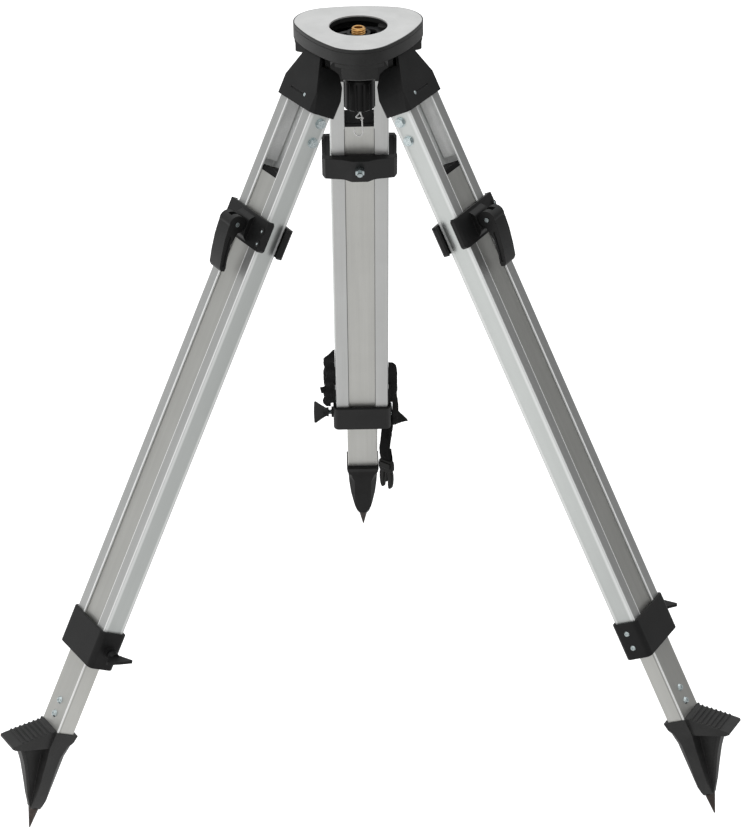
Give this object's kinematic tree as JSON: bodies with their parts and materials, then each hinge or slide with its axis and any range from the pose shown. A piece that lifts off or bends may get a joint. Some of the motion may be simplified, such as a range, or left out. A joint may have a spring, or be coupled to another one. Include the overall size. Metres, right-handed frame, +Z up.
{
  "type": "surveyor tripod",
  "caption": "Surveyor tripod with a flat rounded-triangle head, central instrument screw, slotted light-alloy telescopic legs, lever clamps and pointed shoes.",
  "frame": {"origin": "centre of the head plate's top face", "axes": "+Z up, square to the plate; -Y towards the gap between the left and right legs, so the rear leg points to +Y"},
  "size_m": [0.8372, 0.7251, 0.8811],
  "materials": {
    "facing_aluminium": "matte",
    "anodised_aluminium": "satin",
    "cast_aluminium": "cast",
    "black_casting": "fine textured",
    "black_plastic": "satin",
    "black_metal": "satin",
    "black_steel": "satin",
    "zinc_steel": "bright zinc",
    "steel_wire": "drawn",
    "point_steel": "dark",
    "brass": "turned",
    "nylon_webbing": "woven"
  },
  "bodies": {
    "head": {"head_plate": "facing_aluminium", "head_body": "black_casting", "hinge_pins": "black_steel"},
    "arm": {"screw_arm": "black_steel"},
    "bush": {"screw_bush": "black_plastic"},
    "screw": {"fixing_screw": "brass", "screw_knob": "black_plastic"},
    "hook": {"plumb_hook": "steel_wire"},
    "left_leg": {"left_cap": "black_casting", "left_cap_insert": "cast_aluminium", "left_rail_a": "anodised_aluminium", "left_rail_b": "anodised_aluminium", "left_rail_bolts": "zinc_steel", "left_collar": "black_plastic", "left_collar_rivets": "zinc_steel"},
    "left_wing": {"left_wing_screw": "black_plastic"},
    "left_lower": {"left_tube": "anodised_aluminium", "left_tube_plug": "black_plastic", "left_jaw_outer": "black_metal", "left_jaw_inner": "black_metal", "left_clamp_bolt": "zinc_steel", "left_shoe": "black_casting", "left_spike": "point_steel", "left_shoe_screws": "zinc_steel"},
    "left_lever": {"left_clamp_lever": "black_metal"},
    "right_leg": {"right_cap": "black_casting", "right_cap_insert": "cast_aluminium", "right_rail_a": "anodised_aluminium", "right_rail_b": "anodised_aluminium", "right_rail_bolts": "zinc_steel", "right_collar": "black_plastic", "right_collar_rivets": "zinc_steel"},
    "right_wing": {"right_wing_screw": "black_plastic"},
    "right_lower": {"right_tube": "anodised_aluminium", "right_tube_plug": "black_plastic", "right_jaw_outer": "black_metal", "right_jaw_inner": "black_metal", "right_clamp_bolt": "zinc_steel", "right_shoe": "black_casting", "right_spike": "point_steel", "right_shoe_screws": "zinc_steel"},
    "right_lever": {"right_clamp_lever": "black_metal"},
    "rear_leg": {"rear_cap": "black_casting", "rear_cap_insert": "cast_aluminium", "rear_rail_a": "anodised_aluminium", "rear_rail_b": "anodised_aluminium", "rear_rail_bolts": "zinc_steel", "rear_collar": "black_plastic", "rear_collar_rivets": "zinc_steel", "carry_strap": "nylon_webbing"},
    "rear_wing": {"rear_wing_screw": "black_plastic"},
    "rear_lower": {"rear_tube": "anodised_aluminium", "rear_tube_plug": "black_plastic", "rear_jaw_outer": "black_metal", "rear_jaw_inner": "black_metal", "rear_clamp_bolt": "zinc_steel", "rear_shoe": "black_casting", "rear_spike": "point_steel", "rear_shoe_screws": "zinc_steel"},
    "rear_lever": {"rear_clamp_lever": "black_metal"}
  },
  "joints": [
    {"name": "arm_swing", "type": "hinge", "parent": "head", "child": "arm", "pos_m": [0.02901, 0.01675, -0.0115], "axis": [0, 0, 1], "range_deg": [-18, 18]},
    {"name": "screw_slide", "type": "slide", "parent": "arm", "child": "bush", "axis": [0.866, 0.5, 0], "range_m": [-0.011, 0.011]},
    {"name": "screw_turn", "type": "hinge", "parent": "bush", "child": "screw", "pos_m": [0, 0, -0.03], "axis": [0, 0, 1], "continuous": true},
    {"name": "hook_swing", "type": "hinge", "parent": "screw", "child": "hook", "pos_m": [0, 0, -0.0971], "axis": [1, 0, 0], "range_deg": [-35, 35]},
    {"name": "left_fold", "type": "hinge", "parent": "head", "child": "left_leg", "pos_m": [-0.04547, -0.02625, -0.0475], "axis": [-0.5, 0.866, 0], "range_deg": [-26.7, 5]},
    {"name": "left_extend", "type": "slide", "parent": "left_leg", "child": "left_lower", "axis": [-0.3891, -0.2247, -0.8934], "range_m": [-0.07, 0.445]},
    {"name": "left_clamp", "type": "hinge", "parent": "left_lower", "child": "left_lever", "pos_m": [-0.14026, -0.08098, -0.19169], "axis": [-0.5, 0.866, 0], "range_deg": [0, 110]},
    {"name": "left_wing_turn", "type": "hinge", "parent": "left_leg", "child": "left_wing", "pos_m": [-0.30853, -0.17813, -0.65813], "axis": [0.5, -0.866, 0], "continuous": true},
    {"name": "right_fold", "type": "hinge", "parent": "head", "child": "right_leg", "pos_m": [0.04547, -0.02625, -0.0475], "axis": [-0.5, -0.866, 0], "range_deg": [-26.7, 5]},
    {"name": "right_extend", "type": "slide", "parent": "right_leg", "child": "right_lower", "axis": [0.3891, -0.2247, -0.8934], "range_m": [-0.07, 0.445]},
    {"name": "right_clamp", "type": "hinge", "parent": "right_lower", "child": "right_lever", "pos_m": [0.14026, -0.08098, -0.19169], "axis": [-0.5, -0.866, 0], "range_deg": [0, 110]},
    {"name": "right_wing_turn", "type": "hinge", "parent": "right_leg", "child": "right_wing", "pos_m": [0.30853, -0.17813, -0.65813], "axis": [0.5, 0.866, 0], "continuous": true},
    {"name": "rear_fold", "type": "hinge", "parent": "head", "child": "rear_leg", "pos_m": [0, 0.0525, -0.0475], "axis": [1, 0, 0], "range_deg": [-26.7, 5]},
    {"name": "rear_extend", "type": "slide", "parent": "rear_leg", "child": "rear_lower", "axis": [0, 0.4493, -0.8934], "range_m": [-0.07, 0.39]},
    {"name": "rear_clamp", "type": "hinge", "parent": "rear_lower", "child": "rear_lever", "pos_m": [0, 0.16196, -0.19169], "axis": [1, 0, 0], "range_deg": [0, 110]},
    {"name": "rear_wing_turn", "type": "hinge", "parent": "rear_leg", "child": "rear_wing", "pos_m": [0, 0.35626, -0.65813], "axis": [-1, 0, 0], "continuous": true}
  ]
}
